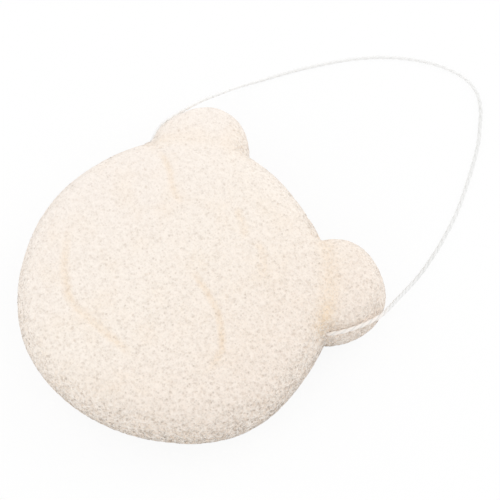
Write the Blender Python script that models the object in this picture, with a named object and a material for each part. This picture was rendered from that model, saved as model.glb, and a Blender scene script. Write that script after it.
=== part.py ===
"""A natural plant-fibre bath sponge with two rounded ears and a hanging loop of cotton cord.

The sponge is moulded in one piece and lies on its flat underside, ears towards +Y. The cord is
threaded straight through it from ear to ear, knotted inside, and its free loop lies on the table.
Metres, +Z up; the origin is on the table, under the middle of the sponge's box.
"""

import math

import bpy
from mathutils import Vector

# Driving dimensions: the moulded sponge
body_radius = 0.045
body_thickness = 0.023
body_rim_width = 0.0115  # how far in from the outline the rounded edge reaches
dish_depth = 0.0009  # the middle of the top face lies this much lower than its crown
ear_radius = 0.0152
ear_thickness = 0.021
ear_rim_width = 0.0105
ear_reach = 0.0438  # from the middle of the body to the middle of an ear
ear_half_angle = math.radians(40.8)  # each ear stands this far round from +Y

# Driving dimensions: the cord, and what it runs through
cord_diameter = 0.0012
cord_clearance = 0.0003  # between the cord and the foam, and between cord ends that meet
channel_height = 0.015  # the threaded cord's centre above the table
flare_depth = 0.0025  # the puckered mouth of the channel, measured in from the ear's crease
flare_width = 0.0034
seat_length = 0.0028  # how far the free loop's ends reach into the foam
knot_slack = 0.0004  # least space between two strands of the knot
knot_tail = 0.0025  # cut end that stands out of the knot
knot_lead = 0.003  # over which the cord leads from the knot to the channel's centre line
cutter_overrun = 0.004

# How finely the round shapes are divided
weld_distance = 0.0001
body_segments = 72
ear_segments = 40
rim_steps = 8
face_steps = 5
cutter_sides = 16
cord_bevel_steps = 2
strand_steps = 16
lead_steps = 8
curve_steps = 12

# Sizes that follow from those above
cord_radius = cord_diameter / 2
loop_point_spacing = cord_diameter * 2.5
channel_radius = cord_radius + cord_clearance
ear_offset = Vector((math.sin(ear_half_angle), math.cos(ear_half_angle), 0)) * ear_reach
body_y = (body_radius - ear_offset.y - ear_radius) / 2


def rim_radius(radius, thickness, rim_width, height):
    """The outline's radius at a height, for a disc whose edge is rounded over rim_width."""
    half = thickness / 2
    level = (height - half) / half
    return radius - rim_width + rim_width * math.sqrt(max(0, 1 - level * level))


def crease_place():
    """Where the body's and an ear's outlines cross at the channel's height, on the outer side."""
    body_r = rim_radius(body_radius, body_thickness, body_rim_width, channel_height)
    ear_r = rim_radius(ear_radius, ear_thickness, ear_rim_width, channel_height)
    along = (body_r**2 - ear_r**2 + ear_reach**2) / (2 * ear_reach)
    angle = ear_half_angle + math.acos(min(1, along / body_r))
    return body_r * math.sin(angle), body_r * math.cos(angle) + body_y


crease_x, channel_y = crease_place()
hinge_place = Vector((0, channel_y, channel_height))
seat_x = crease_x - seat_length

# The free loop's route, from the right ear's crease round the ear, over the table and back to
# the left ear. Between its two ends it rests on the table, so its height there is the cord's
# radius.
loop_route = [
    (0.0390, 0.0211, 0.0151),
    (0.0405, 0.0223, 0.0156),
    (0.0419, 0.0249, 0.0162),
    (0.0431, 0.0283, 0.0163),
    (0.0438, 0.0324, 0.0158),
    (0.0440, 0.0366, 0.0145),
    (0.0431, 0.0409, 0.0121),
    (0.0415, 0.0450, 0.0085),
    (0.0400, 0.0492, 0.0048),
    (0.0387, 0.0535, 0.0018),
    (0.0374, 0.0580, 0.0007),
    (0.0359, 0.0630, 0.0006),
    (0.0336, 0.0698, 0.0006),
    (0.0291, 0.0804, 0.0006),
    (0.0221, 0.0919, 0.0006),
    (0.0170, 0.0997, 0.0006),
    (0.0134, 0.1042, 0.0006),
    (0.0088, 0.1084, 0.0006),
    (0.0031, 0.1110, 0.0006),
    (-0.0035, 0.1110, 0.0006),
    (-0.0123, 0.1073, 0.0006),
    (-0.0220, 0.1000, 0.0006),
    (-0.0298, 0.0899, 0.0006),
    (-0.0367, 0.0763, 0.0006),
    (-0.0412, 0.0650, 0.0006),
    (-0.0431, 0.0588, 0.0009),
    (-0.0438, 0.0536, 0.0029),
    (-0.0439, 0.0485, 0.0059),
    (-0.0439, 0.0437, 0.0090),
    (-0.0441, 0.0390, 0.0116),
    (-0.0443, 0.0338, 0.0135),
    (-0.0438, 0.0283, 0.0146),
    (-0.0422, 0.0249, 0.0150),
    (-0.0405, 0.0223, 0.0151),
    (-0.0390, 0.0211, 0.0150),
]


def clear_scene():
    for thing in list(bpy.data.objects):
        bpy.data.objects.remove(thing, do_unlink=True)


def plain_material(name, colour, roughness):
    material = bpy.data.materials.new(name)
    material.use_nodes = True
    shader = material.node_tree.nodes["Principled BSDF"]
    shader.inputs["Base Color"].default_value = (*colour, 1)
    shader.inputs["Roughness"].default_value = roughness
    shader.inputs["Metallic"].default_value = 0
    return material


def add_object(name, data, place):
    thing = bpy.data.objects.new(name, data)
    bpy.context.scene.collection.objects.link(thing)
    thing.location = place
    return thing


def make_cutter(thing):
    thing.hide_render = True
    thing.display_type = "WIRE"
    return thing


def pillow_profile(radius, thickness, rim_width, dish):
    """Half the cross-section, from the top's middle round the edge to the underside's middle."""
    half = thickness / 2
    face = radius - rim_width
    points = []
    for i in range(face_steps):
        out = i / face_steps
        fall = dish * (1 + math.cos(math.pi * out)) / 2
        points.append((face * out, 0, thickness - fall))
    for i in range(2 * rim_steps + 1):
        turn = math.pi / 2 - math.pi * i / (2 * rim_steps)
        points.append((face + rim_width * math.cos(turn), 0, half + half * math.sin(turn)))
    points.append((0, 0, 0))
    return points


def turned_pillow(name, profile, segments, place):
    """A profile turned a full circle about its own upright axis."""
    mesh = bpy.data.meshes.new(name)
    mesh.from_pydata(profile, [(i, i + 1) for i in range(len(profile) - 1)], [])
    thing = add_object(name, mesh, place)
    turn = thing.modifiers.new("Turn", "SCREW")
    turn.axis = "Z"
    turn.steps = segments
    turn.render_steps = segments
    turn.use_merge_vertices = True
    turn.merge_threshold = weld_distance
    turn.use_smooth_shade = True
    return thing


def round_cutter(name, rings, place):
    """A closed bar along X through (x, half width, half height) rings, measured to its flats."""
    corners = []
    to_corner = 1 / math.cos(math.pi / cutter_sides)
    for x, wide, high in rings:
        for i in range(cutter_sides):
            turn = 2 * math.pi * i / cutter_sides
            across, up = math.cos(turn) * to_corner, math.sin(turn) * to_corner
            corners.append((x, wide * across, high * up))
    faces = [tuple(range(cutter_sides - 1, -1, -1))]
    for ring in range(len(rings) - 1):
        for i in range(cutter_sides):
            a = ring * cutter_sides + i
            b = ring * cutter_sides + (i + 1) % cutter_sides
            faces.append((a, b, b + cutter_sides, a + cutter_sides))
    last = (len(rings) - 1) * cutter_sides
    faces.append(tuple(range(last, last + cutter_sides)))
    mesh = bpy.data.meshes.new(name)
    mesh.from_pydata(corners, [], faces)
    return make_cutter(add_object(name, mesh, place))


def cut(thing, name, operation, other):
    step = thing.modifiers.new(name, "BOOLEAN")
    step.operation = operation
    step.solver = "EXACT"
    step.object = other


def smooth_path(points, spacing):
    """Points at an even spacing along a Catmull-Rom curve through the given ones."""
    fine = []
    padded = [points[0] * 2 - points[1], *points, points[-1] * 2 - points[-2]]
    for before, start, end, after in zip(padded, padded[1:], padded[2:], padded[3:]):
        for i in range(curve_steps):
            t = i / curve_steps
            fine.append(
                0.5
                * (
                    2 * start
                    + (end - before) * t
                    + (2 * before - 5 * start + 4 * end - after) * t**2
                    + (3 * start - before - 3 * end + after) * t**3
                )
            )
    fine.append(points[-1])
    travelled = [0]
    for a, b in zip(fine, fine[1:]):
        travelled.append(travelled[-1] + (b - a).length)
    count = max(2, round(travelled[-1] / spacing))
    even, at = [], 0
    for i in range(count + 1):
        wanted = travelled[-1] * i / count
        while at < len(fine) - 2 and travelled[at + 1] < wanted:
            at += 1
        share = (wanted - travelled[at]) / (travelled[at + 1] - travelled[at])
        even.append(fine[at].lerp(fine[at + 1], share))
    return even


def cord_tube(name, points, place, material):
    """A round tube with closed ends through world points; its own origin is at place."""
    curve = bpy.data.curves.new(name, "CURVE")
    curve.dimensions = "3D"
    curve.bevel_depth = cord_radius
    curve.bevel_resolution = cord_bevel_steps
    curve.use_fill_caps = True
    spline = curve.splines.new("POLY")
    spline.points.add(len(points) - 1)
    for corner, point in zip(spline.points, points):
        corner.co = (*(point - place), 1)
    curve.materials.append(material)
    return add_object(name, curve, place)


def make_sponge(material):
    """The moulded foam: a thick round body and two ears, with the cord's channel through it."""
    body = pillow_profile(body_radius, body_thickness, body_rim_width, dish_depth)
    sponge = turned_pillow("sponge", body, body_segments, Vector((0, body_y, 0)))
    sponge.data.materials.append(material)
    ear = pillow_profile(ear_radius, ear_thickness, ear_rim_width, 0)
    for side, name in ((1, "right_ear_form"), (-1, "left_ear_form")):
        place = Vector((side * ear_offset.x, ear_offset.y + body_y, 0))
        form = make_cutter(turned_pillow(name, ear, ear_segments, place))
        cut(sponge, name, "UNION", form)

    channel = round_cutter("cord_channel", channel_rings(), hinge_place)
    cut(sponge, "Channel", "DIFFERENCE", channel)
    pocket = round_cutter("knot_pocket", pocket_rings(), hinge_place)
    cut(sponge, "Pocket", "DIFFERENCE", pocket)


def channel_rings():
    """The channel from ear to ear, its two mouths flared where the foam puckers round the cord."""
    slope = (flare_width / 2 - channel_radius) / flare_depth
    half = [
        (crease_x - flare_depth, channel_radius),
        (crease_x + cutter_overrun, flare_width / 2 + slope * cutter_overrun),
    ]
    return [(-x, r, r) for x, r in reversed(half)] + [(x, r, r) for x, r in half]


# The knot: two bights hooked through each other. Strands are measured from the channel's centre
# line, x along it; each bight is narrow where it enters the knot and wide where it closes.
strand_pitch = cord_diameter + knot_slack
narrow_half = strand_pitch / 2
wide_half = narrow_half + strand_pitch
rise = strand_pitch / 2
knot_half = 2 * strand_pitch
bight_depth = strand_pitch * 5 / 4
bight_end = knot_half + strand_pitch / 4
tail_end = bight_end + knot_tail
lead_end = tail_end + knot_lead


def pocket_rings():
    """The hollow that the knot presses into the foam, tapered to the channel at both ends."""
    room = cord_radius + cord_clearance
    wide, high = wide_half + room, 2 * rise + room
    narrow = narrow_half + room + cord_clearance
    half = [
        (bight_end + room, wide, high),
        (tail_end + cord_clearance, (narrow + wide) / 2, high),
        (lead_end, channel_radius, channel_radius),
    ]
    return [(-x, w, h) for x, w, h in reversed(half)] + half


def smooth_share(value):
    t = min(1, max(0, value))
    return t * t * (3 - 2 * t)


def strand_point(x, side):
    """A strand of the left end's bight at x, on the side +1 or -1 of the knot."""
    widened = smooth_share((x + knot_half / 2) / knot_half)
    across = narrow_half + (wide_half - narrow_half) * widened
    inside = min(knot_half, max(-knot_half, x))
    return Vector((x, side * across, rise * math.cos(math.pi * inside / knot_half)))


def knotted_end():
    """The left half of the threaded cord, from its mouth to its cut end past the knot."""
    points = [Vector((cord_clearance - seat_x, 0, 0)), Vector((-lead_end - knot_lead, 0, 0))]
    for i in range(lead_steps + 1):
        bend = smooth_share(i / lead_steps)
        x = -lead_end + knot_lead * i / lead_steps
        points.append(Vector((x, -narrow_half * bend, -rise * bend)))
    close_from = bight_end - bight_depth
    strand_length = close_from + tail_end
    for i in range(1, strand_steps + 1):
        points.append(strand_point(strand_length * i / strand_steps - tail_end, -1))
    for i in range(1, strand_steps):
        turn = math.pi * i / strand_steps - math.pi / 2
        x = close_from + bight_depth * math.cos(turn)
        points.append(Vector((x, wide_half * math.sin(turn), strand_point(x, 1).z)))
    for i in range(strand_steps, -1, -1):
        points.append(strand_point(strand_length * i / strand_steps - tail_end, 1))
    return points


def make_threaded_cord(material):
    """The two cord ends inside the sponge, hooked through each other in a square knot."""
    left = knotted_end()
    right = [Vector((-p.x, p.y, -p.z)) for p in left]
    for name, points in (("cord_end_left", left), ("cord_end_right", right)):
        cord_tube(name, [hinge_place + p for p in points], hinge_place, material)


def make_hanging_loop(material):
    """The free loop, which turns about the line through the channel's two mouths."""
    seat = Vector((seat_x, 0, 0))
    mouth = Vector((crease_x - seat_length / 2, 0, 0))
    route = [hinge_place + seat, hinge_place + mouth]
    route += [Vector(place) for place in loop_route]
    route += [hinge_place - mouth, hinge_place - seat]
    points = smooth_path(route, loop_point_spacing)
    for point in points:
        point.z = max(point.z, cord_radius)
    cord_tube("hanging_loop", points, hinge_place, material)


clear_scene()
foam = plain_material("plant_fibre_foam", (0.93, 0.86, 0.78), 0.95)
cotton = plain_material("white_cotton", (0.92, 0.92, 0.9), 0.85)
make_sponge(foam)
make_threaded_cord(cotton)
make_hanging_loop(cotton)
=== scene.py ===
"""The looks of a natural bath sponge with two ears and a hanging loop of cotton cord.

The sponge is a moulded cake of plant-fibre foam that lies on a white table, ears away from its
foot. A twisted cotton cord runs through it from ear to ear and comes out as one free loop.
Metres, +Z up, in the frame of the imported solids.
"""

import math

import bpy
import numpy as np
from mathutils import Matrix, Vector, kdtree, noise


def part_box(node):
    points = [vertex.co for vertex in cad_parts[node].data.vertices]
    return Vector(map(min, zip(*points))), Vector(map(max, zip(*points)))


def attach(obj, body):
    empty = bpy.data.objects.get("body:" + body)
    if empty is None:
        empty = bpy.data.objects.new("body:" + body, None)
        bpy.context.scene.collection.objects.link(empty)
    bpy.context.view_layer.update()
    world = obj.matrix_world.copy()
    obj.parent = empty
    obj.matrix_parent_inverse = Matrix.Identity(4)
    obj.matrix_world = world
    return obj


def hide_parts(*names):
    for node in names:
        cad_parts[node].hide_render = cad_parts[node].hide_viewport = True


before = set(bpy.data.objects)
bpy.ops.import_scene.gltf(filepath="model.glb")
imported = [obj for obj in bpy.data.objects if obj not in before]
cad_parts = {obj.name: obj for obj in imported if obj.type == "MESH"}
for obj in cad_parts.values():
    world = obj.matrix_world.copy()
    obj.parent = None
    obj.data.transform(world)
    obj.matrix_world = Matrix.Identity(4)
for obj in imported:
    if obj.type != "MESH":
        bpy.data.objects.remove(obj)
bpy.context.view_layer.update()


# The sponge's body and ears: one cake of foam, poured into a mould and dried, with a round body,
# two thick round ears and full round edges. It is made of konjac-like plant fibre, off-white and
# dry to the touch, and its skin is broken all over by the pores that its bubbles left.
sponge_low, sponge_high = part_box("sponge")
body_thickness = sponge_high.z
body_radius = (sponge_high.x - sponge_low.x) / 2
body_middle = Vector((0, sponge_low.y + body_radius, 0))
body_rim = body_thickness / 2
ear_thickness = 0.021
ear_rim = ear_thickness / 2
body_sides = 144
ear_sides = 96
channel_sides = 24
rim_steps = 14
smoothing_passes = 10
grain_size = 0.00032

# How far the hand-trimmed outline strays from a circle, as shares of its radius, by the number
# of lobes: (lobes, cosine share, sine share), turning from +X.
body_shares = [
    (1, 0.0, 0.0040),
    (2, 0.0090, -0.0128),
    (3, 0.0119, 0.0066),
    (4, -0.0055, -0.0045),
    (5, -0.0031, -0.0096),
    (6, 0.0014, -0.0024),
    (7, 0.0013, -0.0030),
]
# Each ear: side, angle from +Y, distance from the body's middle, radii across and along, and the
# same kind of shares for its own outline.
ears = [
    (1, math.radians(40.4), 0.0439, 0.0156, 0.0152, [(4, -0.009, 0.018)]),
    (-1, math.radians(41.25), 0.0436, 0.0147, 0.0146, [(3, 0.032, -0.0235)]),
]


def deselect_all():
    bpy.ops.object.select_all(action="DESELECT")


def apply_step(piece, kind, **settings):
    """Adds one modifier, sets it and applies it."""
    step = piece.modifiers.new(kind.title(), kind)
    for name, value in settings.items():
        setattr(step, name, value)
    bpy.context.view_layer.objects.active = piece
    bpy.ops.object.modifier_apply(modifier=step.name)


def soft_disc(name, sides, radii, thickness, rim, middle, turn):
    """A thick disc on the table with its edge rounded from the top face to the underside."""
    deselect_all()
    bpy.ops.mesh.primitive_cylinder_add(
        vertices=sides,
        radius=1,
        depth=thickness,
        location=(middle.x, middle.y, thickness / 2),
        rotation=(0, 0, turn),
        scale=(radii[0], radii[1], 1),
    )
    disc = bpy.context.object
    disc.name = name
    bpy.ops.object.transform_apply(location=True, rotation=True, scale=True)
    apply_step(
        disc,
        "BEVEL",
        width=rim - grain_size / 4,
        segments=rim_steps,
        limit_method="ANGLE",
        use_clamp_overlap=False,
    )
    return disc


def swell(out, shares):
    """How far an outline stands off its circle or oval, in the plan direction of out."""
    angle = math.atan2(out.y, out.x)
    return 1 + sum(
        cosine * math.cos(lobes * angle) + sine * math.sin(lobes * angle)
        for lobes, cosine, sine in shares
    )


def swell_disc(disc, middle, shares):
    for vertex in disc.data.vertices:
        out = vertex.co - middle
        out.z = 0
        vertex.co += out * (swell(out, shares) - 1)


sponge = soft_disc(
    "sponge_foam", body_sides, (body_radius, body_radius), body_thickness, body_rim, body_middle, 0
)
swell_disc(sponge, body_middle, body_shares)

for side, angle, reach, across, along, shares in ears:
    middle = body_middle + Vector((side * math.sin(angle), math.cos(angle), 0)) * reach
    ear = soft_disc(
        "ear", ear_sides, (across, along), ear_thickness, ear_rim, middle, -side * angle
    )
    swell_disc(ear, middle, shares)
    apply_step(sponge, "BOOLEAN", operation="UNION", object=ear)
    bpy.data.objects.remove(ear)

# The channel that the cord is threaded through, from crease to crease.
channel_y = 0.02103
channel_height = 0.015
channel_radius = 0.0006
# Its wall reaches to this share of its radius, and nothing that shapes the outside moves it.
channel_wall_share = 1.4

deselect_all()
bpy.ops.mesh.primitive_cylinder_add(
    vertices=channel_sides,
    radius=channel_radius,
    depth=2 * body_radius,
    location=(0, channel_y, channel_height),
    rotation=(0, math.pi / 2, 0),
)
channel = bpy.context.object
apply_step(sponge, "BOOLEAN", operation="DIFFERENCE", object=channel)
bpy.data.objects.remove(channel)
apply_step(sponge, "REMESH", mode="VOXEL", voxel_size=grain_size, use_smooth_shade=True)


def positions(mesh):
    flat = np.empty(len(mesh.vertices) * 3)
    mesh.vertices.foreach_get("co", flat)
    return flat.reshape(-1, 3)


def facings(mesh):
    flat = np.empty(len(mesh.vertices) * 3)
    mesh.vertex_normals.foreach_get("vector", flat)
    return flat.reshape(-1, 3)


def smooth_step(value):
    t = np.clip(value, 0, 1)
    return t * t * (3 - 2 * t)


def skin_weight(places):
    """0 on the channel's wall, 1 on the outside."""
    off = np.hypot(places[:, 1] - channel_y, places[:, 2] - channel_height)
    return smooth_step(off / channel_radius - channel_wall_share)


skin = sponge.vertex_groups.new(name="skin")
for index, weight in enumerate(skin_weight(positions(sponge.data))):
    skin.add([index], float(weight), "REPLACE")
apply_step(sponge, "SMOOTH", factor=0.5, iterations=smoothing_passes, vertex_group="skin")

# The creases of the top face, seen from above: each one's depth, its width and its line.
face_creases = [
    (0.00040, 0.0010, [(-0.0331, 0.0192), (-0.0293, 0.0187), (-0.0254, 0.0174), (-0.0219, 0.0152),
                       (-0.0178, 0.0137), (-0.0150, 0.0140)]),
    (0.00040, 0.0013, [(-0.0298, -0.0152), (-0.0277, -0.0175), (-0.0241, -0.0214),
                       (-0.0201, -0.0248), (-0.0139, -0.0282), (-0.0094, -0.0289),
                       (-0.0050, -0.0282), (0.0039, -0.0269), (0.0126, -0.0257)]),
    (0.00048, 0.0010, [(0.0012, 0.0036), (0.0051, 0.0025), (0.0094, 0.0019), (0.0134, 0.0011),
                       (0.0166, 0.0002), (0.0201, -0.0016), (0.0232, -0.0039),
                       (0.0260, -0.0061), (0.0279, -0.0106), (0.0284, -0.0141)]),
    (0.00028, 0.0012, [(-0.0052, 0.0248), (-0.0016, 0.0233), (0.0017, 0.0223), (0.0044, 0.0197)]),
    (0.00028, 0.0012, [(0.0066, 0.0223), (0.0105, 0.0212), (0.0139, 0.0191), (0.0170, 0.0157)]),
]
# A crease fades towards its ends, and a faint lip stands along each side of it: how far from its
# line, as a share of its width, and how high, as a share of its depth.
crease_end_share = 0.15
crease_taper = 4
lip_place_share = 2.2
lip_height_share = 0.25


def near_line(places, line):
    """For each place, its plan distance to a line and how far along it that is, 0 to 1."""
    best = np.full(len(places), np.inf)
    share = np.zeros(len(places))
    lengths = [math.dist(a, b) for a, b in zip(line, line[1:])]
    start = 0
    for a, b, length in zip(line, line[1:], lengths):
        a, b = np.array(a), np.array(b)
        t = np.clip((places[:, :2] - a) @ (b - a) / length**2, 0, 1)
        gap = np.linalg.norm(places[:, :2] - a - t[:, None] * (b - a), axis=1)
        nearer = gap < best
        best[nearer] = gap[nearer]
        share[nearer] = ((start + t * length) / sum(lengths))[nearer]
        start += length
    return best, share


def crease(places, depth, width, line):
    """How far a crease lowers each place: a soft valley between two faint lips."""
    gap, share = near_line(places, line)
    taper = smooth_step(crease_taper * np.minimum(share, 1 - share) + crease_end_share)
    valley = np.exp(-((gap / width) ** 2))
    lip = np.exp(-(((gap - lip_place_share * width) / width) ** 2))
    return depth * taper * (valley - lip_height_share * lip)


# Seen from above the cake is one outline, and the mould gives it a level top that falls only
# towards that outline, so an ear's root is as thick as the body beside it.
outline_step = math.radians(0.25)
ear_begins = 0.036
ear_ends = 0.050
top_squareness = 2.6
foot_squareness = 2.0
level_from = 0.0010
level_over = 0.0030


def ear_reach(place, side, angle, reach, across, along, shares):
    """How far out a plan place lies in an ear: below 1 it is inside the ear's outline."""
    toward = Vector((side * math.sin(angle), math.cos(angle), 0))
    beside = Vector((toward.y, -toward.x, 0))
    out = place - body_middle - toward * reach
    return math.hypot(out.dot(beside) / across, out.dot(toward) / along) / swell(out, shares)


def cake_outline():
    """The cake's outline as seen from above, as close points."""
    count = round(2 * math.pi / outline_step)
    for step in range(count):
        turn = step * outline_step
        round_it = Vector((math.cos(turn), math.sin(turn), 0))
        place = body_middle + round_it * body_radius * swell(round_it, body_shares)
        if all(ear_reach(place, *ear) >= 1 for ear in ears):
            yield place
        for side, angle, reach, across, along, shares in ears:
            toward = Vector((side * math.sin(angle), math.cos(angle), 0))
            beside = Vector((toward.y, -toward.x, 0))
            oval = toward * along * round_it.x + beside * across * round_it.y
            out = toward * reach + oval * swell(oval, shares)
            if out.length >= body_radius * swell(out, body_shares):
                yield body_middle + out


outline = list(cake_outline())
finder = kdtree.KDTree(len(outline))
for index, place in enumerate(outline):
    finder.insert(place, index)
finder.balance()

places = positions(sponge.data)
facing = facings(sponge.data)
inset = np.array([finder.find((x, y, 0))[2] for x, y, z in places])
from_middle = np.hypot(places[:, 0], places[:, 1] - body_middle.y)
earward = smooth_step((from_middle - ear_begins) / (ear_ends - ear_begins))
thickness = body_thickness + (ear_thickness - body_thickness) * earward
rim = body_rim + (ear_rim - body_rim) * earward
squareness = np.where(facing[:, 2] > 0, top_squareness, foot_squareness)
depth_in = np.clip(1 - inset / rim, 0, 1)
rise = (1 - depth_in**squareness) ** (1 / squareness)
level = thickness / 2 * (1 + np.sign(facing[:, 2]) * rise)
share = smooth_step((inset - level_from) / level_over) * skin_weight(places)
places[:, 2] += (level - places[:, 2]) * share
sponge.data.vertices.foreach_set("co", places.ravel())
sponge.data.update()

# What is pressed into the top: a shallow dish in its middle, and a dent along each ear's root,
# deeper at its outer end.
dish_depth = 0.0009
dish_radius = 0.030
root_radius = 0.0433
root_width = 0.0026
root_half_angle = math.radians(19)
root_steps = 8
root_depths = {1: 0.0008, -1: 0.0003}
root_shallow_share = 0.35
top_sharpness = 1.5
mouth_height = 0.0007
mouth_width = 0.0016
mouth_from = 0.0365
mouth_over = 0.001
lump_size = 0.009
lump_height = 0.0001
knob_size = 0.0028
knob_height = 0.00004
knob_shift = Vector((3, 7, 11))
# The pores in the skin, from wide to fine: their spacing, depth, and how narrow each is. The
# strength of each pore is drawn from its own place.
pores = [
    (0.0026, 0.00009, 4.0),
    (0.0016, 0.00028, 4.0),
    (0.0010, 0.00032, 3.5),
]
faintest_pore_share = 0.15
strength_mix = Vector((12.99, 78.23, 37.72))
strength_spread = 437.58
full_pit = 0.00055
side_pores = 1.2
ear_smoothness = 0.25
ear_smooth_over = 0.004

facing = facings(sponge.data)
weight = skin_weight(places)
top = smooth_step(facing[:, 2] * top_sharpness) * weight
fold = np.zeros(len(places))
for depth, width, line in face_creases:
    fold += crease(places, depth, width, line) * top
for side, angle, *_ in ears:
    arc = []
    for step in range(-root_steps, root_steps + 1):
        turn = angle + root_half_angle * step / root_steps
        arc.append(
            (side * root_radius * math.sin(turn), body_middle.y + root_radius * math.cos(turn))
        )
    gap, share = near_line(places, arc)
    deepens = root_shallow_share + (1 - root_shallow_share) * share**2
    fold += root_depths[side] * deepens * np.exp(-((gap / root_width) ** 2)) * top
dish = dish_depth * (1 - smooth_step(from_middle / dish_radius)) * top
places[:, 2] -= fold + dish

# The foam closes round the string at its two mouths.
off_channel = np.hypot(places[:, 1] - channel_y, places[:, 2] - channel_height)
mouth = np.exp(-((off_channel / mouth_width) ** 2))
mouth *= smooth_step((np.abs(places[:, 0]) - mouth_from) / mouth_over)
places[:, 0] += np.sign(places[:, 0]) * mouth_height * mouth


def pore(spot, size, depth, narrowness):
    """How deep the nearest pore of one size is at a spot. Each pore has a strength of its own."""
    gaps, centres = noise.voronoi(spot / size, distance_metric="DISTANCE_SQUARED")
    strength = (math.sin(centres[0].dot(strength_mix)) * strength_spread) % 1
    strength = faintest_pore_share + (1 - faintest_pore_share) * strength
    return depth * strength * max(0, 1 - gaps[0] * narrowness)


lumps, pits = np.empty(len(places)), np.empty(len(places))
for index, place in enumerate(places):
    spot = Vector(place)
    wide = noise.noise(spot / lump_size)
    knob = noise.noise(spot / knob_size + knob_shift)
    lumps[index] = lump_height * wide + knob_height * knob
    pits[index] = sum(pore(spot, *kind) for kind in pores)
on_ear = smooth_step((from_middle - body_radius) / ear_smooth_over)
flank = np.clip(1 - facing[:, 2], 0, 2) / 2 * (1 - ear_smoothness * on_ear)
pits *= 1 + side_pores * flank
places += facing * ((lumps - pits) * weight)[:, None]
places[:, 2] = np.maximum(places[:, 2], 0)
sponge.data.vertices.foreach_set("co", places.ravel())
sponge.data.update()


def add_attribute(piece, name, values):
    layer = piece.data.attributes.new(name, "FLOAT", "POINT")
    layer.data.foreach_set("value", values.astype(np.float32))


add_attribute(sponge, "pit", np.clip(pits / full_pit, 0, 1) * weight)
add_attribute(sponge, "flank", flank)
add_attribute(sponge, "fold", np.clip(fold / root_depths[1], 0, 1))
sponge.vertex_groups.clear()


class Value:
    """A number or colour that varies over a surface. Arithmetic on it adds Math nodes."""

    def __init__(self, finish, socket):
        self.finish = finish
        self.socket = socket

    def maths(self, operation, first, second):
        return self.finish.node("ShaderNodeMath", {"operation": operation}, {0: first, 1: second})

    def __add__(self, other):
        return self.maths("ADD", self, other)

    def __sub__(self, other):
        return self.maths("SUBTRACT", self, other)

    def __rsub__(self, other):
        return self.maths("SUBTRACT", other, self)

    def __mul__(self, other):
        return self.maths("MULTIPLY", self, other)

    def __abs__(self):
        return self.maths("ABSOLUTE", self, 0)

    __radd__ = __add__
    __rmul__ = __mul__


class Shading:
    """The nodes of one material, or of the light all round, made one by one."""

    def __init__(self, tree):
        self.tree = tree

    def node(self, kind, settings=None, inputs=None, output=0):
        made = self.tree.nodes.new(kind)
        for name, value in (settings or {}).items():
            if name == "stops":
                while len(made.color_ramp.elements) < len(value):
                    made.color_ramp.elements.new(1)
                for stop, (at, colour) in zip(made.color_ramp.elements, value):
                    stop.position, stop.color = at, colour
            else:
                setattr(made, name, value)
        for key, value in (inputs or {}).items():
            self.feed(made.inputs[key], value)
        return Value(self, made.outputs[output])

    def feed(self, socket, value):
        if isinstance(value, Value):
            self.tree.links.new(value.socket, socket)
        else:
            socket.default_value = value

    def blend(self, share, first, second):
        """A colour between two others."""
        inputs = {0: share, 6: first, 7: second}
        return self.node("ShaderNodeMix", {"data_type": "RGBA"}, inputs, output=2)

    def holes(self, where, scale, seen):
        """Small round holes, each of its own strength: 1 in the middle of a full one."""
        near = self.node("ShaderNodeTexVoronoi", inputs={"Vector": where, "Scale": scale})
        cell_colour = Value(self, near.socket.node.outputs["Color"])
        strength = self.node("ShaderNodeSeparateColor", inputs={"Color": cell_colour})
        inside = self.node(
            "ShaderNodeMapRange",
            inputs={"Value": near, "From Min": 0.1, "From Max": seen, "To Min": 1, "To Max": 0},
        )
        return inside * strength


class Finish(Shading):
    """One material and its shader."""

    def __init__(self, name):
        self.material = bpy.data.materials.new(name)
        self.material.use_nodes = True
        super().__init__(self.material.node_tree)
        self.shader = self.tree.nodes["Principled BSDF"]

    def dress(self, piece):
        piece.data.materials.clear()
        piece.data.materials.append(self.material)


# The foam is paler in patches and warmer in others. Painted light and shade make it paler and
# cooler towards its lit left, warmer towards its shaded right, and browner down its flanks and in
# its creases and pores. Fine pale strands of fibre run over it.
foam_colour = (0.963, 0.871, 0.778, 1)
foam_pale = (0.978, 0.907, 0.833, 1)
foam_lit_side = (0.943, 0.872, 0.82, 1)
foam_shaded_side = (0.932, 0.817, 0.725, 1)
foam_pore_shade = (0.67, 0.565, 0.47, 1)
foam_warm_tone_and_crease_shade = (0.93, 0.72, 0.49, 1)
foam_flank_shade = (0.845, 0.655, 0.475, 1)
patch_scale = 90
speckle_scale = 1500
speckle_contrast = 1.6
weave_scale = 700
strand_sharpness = 12
hole_scale = 1200
hole_reach = 0.5
pinhole_scale = 1700
pinhole_reach = 0.6
lit_side_per_metre = -16
shaded_side_per_metre = 19
flank_shade_share = 1.55
warm_share = 0.55
crease_shade_contrast = 1.5
pit_shade_share = 0.26
hole_shade_share = 0.42
pinhole_shade_share = 0.43
strand_share = 0.35
flank_strand_share = 1.6
speckle_rise_share = 0.4
strand_rise_share = 0.3
hole_drop_share = 0.8
pinhole_drop_share = 0.5
relief_depth = 0.00022
# How strongly the pores show, in their relief and in their painted shade: more down the flanks, to
# the right and towards the foot, where they lie more in shade.
relief_and_shade_base = 0.98
relief_and_shade_flank_share = 10.3
relief_and_shade_per_metre_across = 7
relief_and_shade_per_metre_along = -2.5

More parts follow.
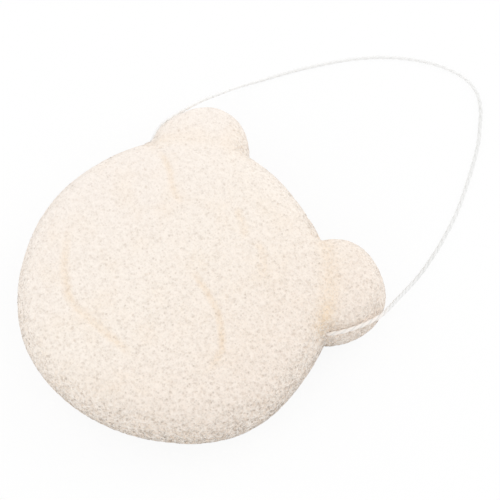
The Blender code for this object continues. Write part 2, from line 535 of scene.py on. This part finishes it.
foam = Finish("plant_fibre_foam_finish")
where = foam.node("ShaderNodeTexCoord", output=3)
pit = foam.node("ShaderNodeAttribute", {"attribute_name": "pit"}, output=2)
folded = foam.node("ShaderNodeAttribute", {"attribute_name": "fold"}, output=2)
flank = foam.node("ShaderNodeAttribute", {"attribute_name": "flank"}, output=2)
across = foam.node("ShaderNodeSeparateXYZ", inputs={0: where})
along = foam.node("ShaderNodeSeparateXYZ", inputs={0: where}, output=1)
patches = foam.node(
    "ShaderNodeTexNoise", inputs={"Vector": where, "Scale": patch_scale, "Detail": 3}
)
speckle = foam.node(
    "ShaderNodeTexNoise", inputs={"Vector": where, "Scale": speckle_scale, "Detail": 3}
)
weave = foam.node("ShaderNodeTexNoise", inputs={"Vector": where, "Scale": weave_scale, "Detail": 2})
strands = 1 - abs(weave - 0.5) * strand_sharpness
holes = foam.holes(where, hole_scale, hole_reach)
pinholes = foam.holes(where, pinhole_scale, pinhole_reach)
pore_relief_and_shade = flank * flank * relief_and_shade_flank_share + across * relief_and_shade_per_metre_across
pore_relief_and_shade = pore_relief_and_shade + along * relief_and_shade_per_metre_along + relief_and_shade_base
tone = foam.blend(patches, foam_colour, foam_pale)
tone = foam.blend(speckle * speckle_contrast - 0.5, tone, foam_colour)
# Painted light and shade: paler and cooler towards the lit left, warmer towards the shaded right.
tone = foam.blend(across * lit_side_per_metre, tone, foam_lit_side)
tone = foam.blend(across * shaded_side_per_metre, tone, foam_shaded_side)
# Painted shade: browner down the flanks and most underneath, where less light reaches.
tone = foam.blend(flank * flank * flank_shade_share, tone, foam_flank_shade)
tone = foam.blend((0.5 - patches) * warm_share, tone, foam_warm_tone_and_crease_shade)
# Painted shade in the creases and in the dents along the ears' roots.
tone = foam.blend(folded * (patches * crease_shade_contrast - 0.1), tone, foam_warm_tone_and_crease_shade)
# Painted shade in the pores, darker where they are deeper.
tone = foam.blend(pit * pit_shade_share * pore_relief_and_shade, tone, foam_pore_shade)
tone = foam.blend((holes * hole_shade_share + pinholes * pinhole_shade_share) * pore_relief_and_shade, tone, foam_pore_shade)
tone = foam.blend(strands * (flank * flank_strand_share + strand_share), tone, foam_pale)
foam.feed(foam.shader.inputs["Base Color"], tone)
rise = speckle * speckle_rise_share + strands * strand_rise_share
drop = holes * hole_drop_share + pinholes * pinhole_drop_share
bump = foam.node(
    "ShaderNodeBump",
    inputs={"Height": (rise - drop) * pore_relief_and_shade, "Strength": 0.8, "Distance": relief_depth},
)
foam.feed(foam.shader.inputs["Normal"], bump)
foam.shader.inputs["Roughness"].default_value = 0.95
foam.shader.inputs["Specular IOR Level"].default_value = 0.05
foam.shader.inputs["Sheen Weight"].default_value = 0.35
foam.shader.inputs["Sheen Roughness"].default_value = 0.5
foam.dress(sponge)

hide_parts("sponge")
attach(sponge, "sponge_body")


# The hanging loop: a soft cotton string of two plies twisted together, white and unpolished. Its
# ends go into the foam at the outer creases of the ears, and between them it lies on the table.
cord_diameter = 0.0012
cord_radius = cord_diameter / 2
seat_length = 0.0028
crease_x = 0.038217
ply_offset = 0.00014
ply_radius = cord_radius - ply_offset
ply_pitch = 0.0054
ring_spacing = 0.0003
ring_sides = 28
curve_steps = 12
loop_route = [
    (0.0388, 0.0212, 0.0155),
    (0.0400, 0.0223, 0.0163),
    (0.0415, 0.0249, 0.0166),
    (0.0428, 0.0283, 0.0165),
    (0.0437, 0.0324, 0.0158),
    (0.0439, 0.0366, 0.0146),
    (0.0429, 0.0409, 0.0122),
    (0.0414, 0.0450, 0.0085),
    (0.0400, 0.0492, 0.0048),
    (0.0387, 0.0535, 0.0018),
    (0.0376, 0.0581, 0.0007),
    (0.0362, 0.0631, 0.0006),
    (0.0339, 0.0699, 0.0006),
    (0.0293, 0.0805, 0.0006),
    (0.0224, 0.0921, 0.0006),
    (0.0171, 0.0998, 0.0006),
    (0.0132, 0.1041, 0.0006),
    (0.0088, 0.1085, 0.0006),
    (0.0032, 0.1117, 0.0006),
    (-0.0037, 0.1118, 0.0006),
    (-0.0127, 0.1078, 0.0006),
    (-0.0219, 0.0999, 0.0006),
    (-0.0295, 0.0897, 0.0006),
    (-0.0364, 0.0762, 0.0006),
    (-0.0410, 0.0650, 0.0006),
    (-0.0433, 0.0589, 0.0009),
    (-0.0440, 0.0537, 0.0029),
    (-0.0439, 0.0485, 0.0059),
    (-0.0437, 0.0437, 0.0088),
    (-0.0434, 0.0390, 0.0109),
    (-0.0434, 0.0338, 0.0122),
    (-0.0430, 0.0283, 0.0134),
    (-0.0416, 0.0249, 0.0142),
    (-0.0401, 0.0223, 0.0147),
    (-0.0388, 0.0211, 0.0149),
]


def smooth_path(points, spacing):
    """Points at an even spacing along a Catmull-Rom curve through the given ones."""
    fine = []
    padded = [points[0] * 2 - points[1], *points, points[-1] * 2 - points[-2]]
    for before, start, end, after in zip(padded, padded[1:], padded[2:], padded[3:]):
        for i in range(curve_steps):
            t = i / curve_steps
            fine.append(
                0.5
                * (
                    2 * start
                    + (end - before) * t
                    + (2 * before - 5 * start + 4 * end - after) * t**2
                    + (3 * start - before - 3 * end + after) * t**3
                )
            )
    fine.append(points[-1])
    travelled = [0]
    for a, b in zip(fine, fine[1:]):
        travelled.append(travelled[-1] + (b - a).length)
    count = round(travelled[-1] / spacing)
    even, at = [], 0
    for i in range(count + 1):
        wanted = travelled[-1] * i / count
        while at < len(fine) - 2 and travelled[at + 1] < wanted:
            at += 1
        share = (wanted - travelled[at]) / (travelled[at + 1] - travelled[at])
        even.append(fine[at].lerp(fine[at + 1], share))
    return even, travelled[-1]


def two_ply_radius(angle):
    """The outline of two round plies side by side, at an angle from the line through them."""
    near = ply_offset * abs(math.cos(angle))
    return near + math.sqrt(ply_radius**2 - (ply_offset * math.sin(angle)) ** 2)


def twisted_cord(name, path, length):
    """One closed skin over two plies that twist round the path, with a UV map along them."""
    points, faces, grooves = [], [], []
    along = (path[1] - path[0]).normalized()
    across = along.orthogonal().normalized()
    for index, middle in enumerate(path):
        ahead = path[min(index + 1, len(path) - 1)] - path[max(index - 1, 0)]
        turn = along.rotation_difference(ahead.normalized())
        across = turn @ across
        along = ahead.normalized()
        up = along.cross(across)
        twist = -2 * math.pi * (length * index / (len(path) - 1)) / ply_pitch
        for side in range(ring_sides):
            angle = 2 * math.pi * side / ring_sides
            reach = two_ply_radius(angle)
            spin = angle + twist
            points.append(middle + (across * math.cos(spin) + up * math.sin(spin)) * reach)
            grooves.append(1 - abs(math.cos(angle)))
    for ring in range(len(path) - 1):
        for side in range(ring_sides):
            a = ring * ring_sides + side
            b = ring * ring_sides + (side + 1) % ring_sides
            faces.append((a, b, b + ring_sides, a + ring_sides))
    last = (len(path) - 1) * ring_sides
    faces.append(tuple(range(ring_sides - 1, -1, -1)))
    faces.append(tuple(range(last, last + ring_sides)))
    mesh = bpy.data.meshes.new(name)
    mesh.from_pydata(points, [], faces)
    layer = mesh.uv_layers.new(name="lay")
    for face in mesh.polygons[: (len(path) - 1) * ring_sides]:
        ring, side = divmod(face.index, ring_sides)
        corners = ((ring, side), (ring, side + 1), (ring + 1, side + 1), (ring + 1, side))
        for corner, (ring, side) in zip(face.loop_indices, corners):
            turns = length * ring / (len(path) - 1) / ply_pitch
            layer.data[corner].uv = (side / ring_sides, turns)
    mesh.shade_smooth()
    thing = bpy.data.objects.new(name, mesh)
    add_attribute(thing, "groove", np.array(grooves))
    bpy.context.scene.collection.objects.link(thing)
    return thing


seat = Vector((crease_x - seat_length, channel_y, channel_height))
inner = Vector((crease_x - seat_length / 2, channel_y, channel_height))
flip = Matrix.Diagonal((-1, 1, 1))
loop_points = [seat, inner, *(Vector(p) for p in loop_route), flip @ inner, flip @ seat]
loop_path, loop_length = smooth_path(loop_points, ring_spacing)
for point in loop_path:
    point.z = max(point.z, cord_radius)
loop = twisted_cord("cotton_loop", loop_path, loop_length)

# Where the string lies on the foam it presses a groove, and where it swings up over an ear the
# foam stands clear of it. Beyond free_from the foam gives way inwards only, and within axis_room
# of the line through the two mouths the swing moves nothing.
string_sink = 0.00005
groove_radius = cord_radius - string_sink
free_from = 0.0398
axis_room = 0.0018
swing_room = 0.0001
loop_swing = math.radians(162)
touch_from_x = 0.036
touch_from_y = 0.018


def press_groove(places):
    """Moves the foam's places off the string, which lies along the loop's path."""
    path = kdtree.KDTree(len(loop_path))
    for index, point in enumerate(loop_path):
        path.insert(point, index)
    path.balance()
    near = (np.abs(places[:, 0]) > touch_from_x) & (places[:, 1] > touch_from_y)
    for index in np.flatnonzero(near):
        point, _, gap = path.find(places[index])
        if gap < groove_radius:
            away = Vector(places[index]) - point
            if abs(point.x) > free_from:
                away.x = -math.copysign(abs(away.x), point.x)
            places[index] = point + away.normalized() * groove_radius


def clear_swing(places):
    """Keeps the foam above the string inside the surface that the swinging string sweeps."""
    middle = len(loop_path) // 2
    turn = np.arctan2(places[:, 2] - channel_height, places[:, 1] - channel_y)
    reach = np.hypot(places[:, 2] - channel_height, places[:, 1] - channel_y)
    for side, half in ((1, loop_path[:middle]), (-1, loop_path[:middle:-1])):
        half = np.array(half)
        lift, out = half[:, 2] - channel_height, half[:, 1] - channel_y
        at_reach = np.hypot(lift, out)
        most = np.interp(reach, at_reach, np.abs(half[:, 0])) - cord_radius - swing_room
        rest = np.interp(reach, at_reach, np.arctan2(lift, out))
        swept = (places[:, 0] * side > most) & (turn > rest) & (turn < rest + loop_swing)
        swept &= reach > axis_room
        places[swept, 0] = side * most[swept]


places = positions(sponge.data)
clear_swing(places)
press_groove(places)
sponge.data.vertices.foreach_set("co", places.ravel())
sponge.data.update()

# Painted light and shade along the string: warm painted shade where it leaves the right ear beside
# the foam, grey painted shade down that side, and whiter from its far bend to the left ear, with
# painted light where it rises along the left ear. The stops are shares of its length.
cotton_white = (0.985, 0.985, 0.98, 1)
cotton_groove_shade = (0.65, 0.65, 0.64, 1)
cotton_light_and_shade_shares = [
    (0.0, (0.92, 0.845, 0.77, 1)),
    (0.08, (0.95, 0.885, 0.83, 1)),
    (0.11, (0.82, 0.82, 0.81, 1)),
    (0.30, (0.86, 0.86, 0.85, 1)),
    (0.45, (0.81, 0.81, 0.80, 1)),
    (0.51, (0.93, 0.93, 0.925, 1)),
    (0.74, (0.92, 0.92, 0.915, 1)),
    (0.80, cotton_white),
    (0.85, (0.93, 0.93, 0.925, 1)),
]
fibre_stretch = (14, 9, 1)
fibre_slant = (0, 0, 0.5)
fluff_share = 0.4
groove_shade_share = 0.62
groove_shade_fade_share = 0.02
fluff_depth = 0.00008

cotton = Finish("white_cotton_finish")
lay = cotton.node("ShaderNodeUVMap", {"uv_map": "lay"})
stretched = cotton.node(
    "ShaderNodeMapping", inputs={"Vector": lay, "Scale": fibre_stretch, "Rotation": fibre_slant}
)
fibres = cotton.node("ShaderNodeTexNoise", inputs={"Vector": stretched, "Scale": 3, "Detail": 5})
groove = cotton.node("ShaderNodeAttribute", {"attribute_name": "groove"}, output=2)
turns = cotton.node("ShaderNodeSeparateXYZ", inputs={0: lay}, output=1)
along_loop = turns * (ply_pitch / loop_length)
run = cotton.node("ShaderNodeValToRGB", {"stops": cotton_light_and_shade_shares}, {"Fac": along_loop})
shade = cotton.blend(fibres * fluff_share, run, cotton_white)
# Painted shade in the groove between the two plies, deepest where the string leaves the right ear
# and fading along it.
groove_shade = groove * groove * (groove_shade_share - turns * groove_shade_fade_share)
shade = cotton.blend(groove_shade, shade, cotton_groove_shade)
cotton.feed(cotton.shader.inputs["Base Color"], shade)
bump = cotton.node(
    "ShaderNodeBump", inputs={"Height": fibres, "Strength": 0.6, "Distance": fluff_depth}
)
cotton.feed(cotton.shader.inputs["Normal"], bump)
cotton.shader.inputs["Roughness"].default_value = 0.9
cotton.shader.inputs["Specular IOR Level"].default_value = 0.2
cotton.dress(loop)

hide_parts("hanging_loop")
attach(loop, "loop_body")


# The cord's two ends inside the sponge, hooked through each other in a square knot. They are the
# same cotton, and show only where the loop meets them in the channel's mouths.
inner_white = (0.97, 0.965, 0.95, 1)
inner_dull = (0.91, 0.90, 0.885, 1)
fuzz_scale = 4000

plain_cotton = Finish("white_cotton_inside")
where = plain_cotton.node("ShaderNodeTexCoord", output=3)
fuzz = plain_cotton.node(
    "ShaderNodeTexNoise", inputs={"Vector": where, "Scale": fuzz_scale, "Detail": 4}
)
shade = plain_cotton.blend(fuzz, inner_dull, inner_white)
plain_cotton.feed(plain_cotton.shader.inputs["Base Color"], shade)
plain_cotton.shader.inputs["Roughness"].default_value = 0.9
for name in ("cord_end_left", "cord_end_right"):
    plain_cotton.dress(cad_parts[name])


# The table: a plain matt white sheet, laid flat under the sponge. The camera sees it as white but
# for the object's own soft shadow.
table_size = 6
table_colour = (0.95, 0.95, 0.95, 1)
table_glow_share = 0.9

deselect_all()
bpy.ops.mesh.primitive_plane_add(size=table_size, location=(0, 0, 0))
table = bpy.context.object
table.name = "table"
white = Finish("white_table")
white.shader.inputs["Base Color"].default_value = table_colour
white.shader.inputs["Roughness"].default_value = 1
white.shader.inputs["Specular IOR Level"].default_value = 0


def seen_rays(shading):
    """1 for the rays that show the background: those of the camera, of gloss and through glass."""
    rays = shading.node("ShaderNodeLightPath")
    glossy = Value(shading, rays.socket.node.outputs["Is Glossy Ray"])
    passing = Value(shading, rays.socket.node.outputs["Is Transmission Ray"])
    return rays + glossy + passing


glow = white.node("ShaderNodeEmission", inputs={"Color": (1, 1, 1, 1), "Strength": 1.0})
shown = white.node(
    "ShaderNodeMixShader",
    inputs={
        0: seen_rays(white) * table_glow_share,
        1: Value(white, white.shader.outputs[0]),
        2: glow,
    },
)
white.feed(white.tree.nodes["Material Output"].inputs["Surface"], shown)
white.dress(table)

# Soft studio light: an even pale surround, and three wide lamps behind and beside the object,
# all turned to the middle of what the camera sees.
surround_strength = 0.835
lamp_size = 0.8
target = Vector((-0.0002, 0.02579, 0))

world = bpy.data.worlds.new("studio")
bpy.context.scene.world = world
world.use_nodes = True
surround = Shading(world.node_tree)
tent = surround.node(
    "ShaderNodeBackground", inputs={"Color": (1, 1, 1, 1), "Strength": surround_strength}
)
backdrop = surround.node("ShaderNodeBackground", inputs={"Color": (1, 1, 1, 1), "Strength": 1})
mixed = surround.node(
    "ShaderNodeMixShader", inputs={0: seen_rays(surround), 1: tent, 2: backdrop}
)
surround.feed(world.node_tree.nodes["World Output"].inputs["Surface"], mixed)


def add_lamp(name, place, watts):
    lamp = bpy.data.lights.new(name, "AREA")
    lamp.size = lamp_size
    lamp.energy = watts
    thing = bpy.data.objects.new(name, lamp)
    bpy.context.scene.collection.objects.link(thing)
    thing.location = place
    thing.rotation_euler = (target - thing.location).to_track_quat("-Z", "Y").to_euler()


add_lamp("behind", target + Vector((0.15, 0.85, 0.5)), 2.6)
add_lamp("far_side", target + Vector((-0.81, -0.30, 0.5)), 1.15)
add_lamp("near_side", target + Vector((0.07, -0.86, 0.5)), 1.4)

# The photograph's view, with its focal length as measured in the photograph's pixels.
photo_pixels = 500
focal_pixels = 2065
view_turn = math.radians(50)
view_rise = math.radians(65)
view_distance = 0.6

camera = bpy.data.cameras.new("camera")
camera.sensor_width = 36
camera.lens = camera.sensor_width * focal_pixels / photo_pixels
camera.clip_start = 0.01
camera.clip_end = 20
view = bpy.data.objects.new("camera", camera)
bpy.context.scene.collection.objects.link(view)
back = Vector(
    (
        math.sin(view_turn) * math.cos(view_rise),
        -math.cos(view_turn) * math.cos(view_rise),
        math.sin(view_rise),
    )
)
view.location = target + back * view_distance
view.rotation_euler = (-back).to_track_quat("-Z", "Y").to_euler()
bpy.context.scene.camera = view
bpy.context.scene.view_settings.view_transform = "Standard"
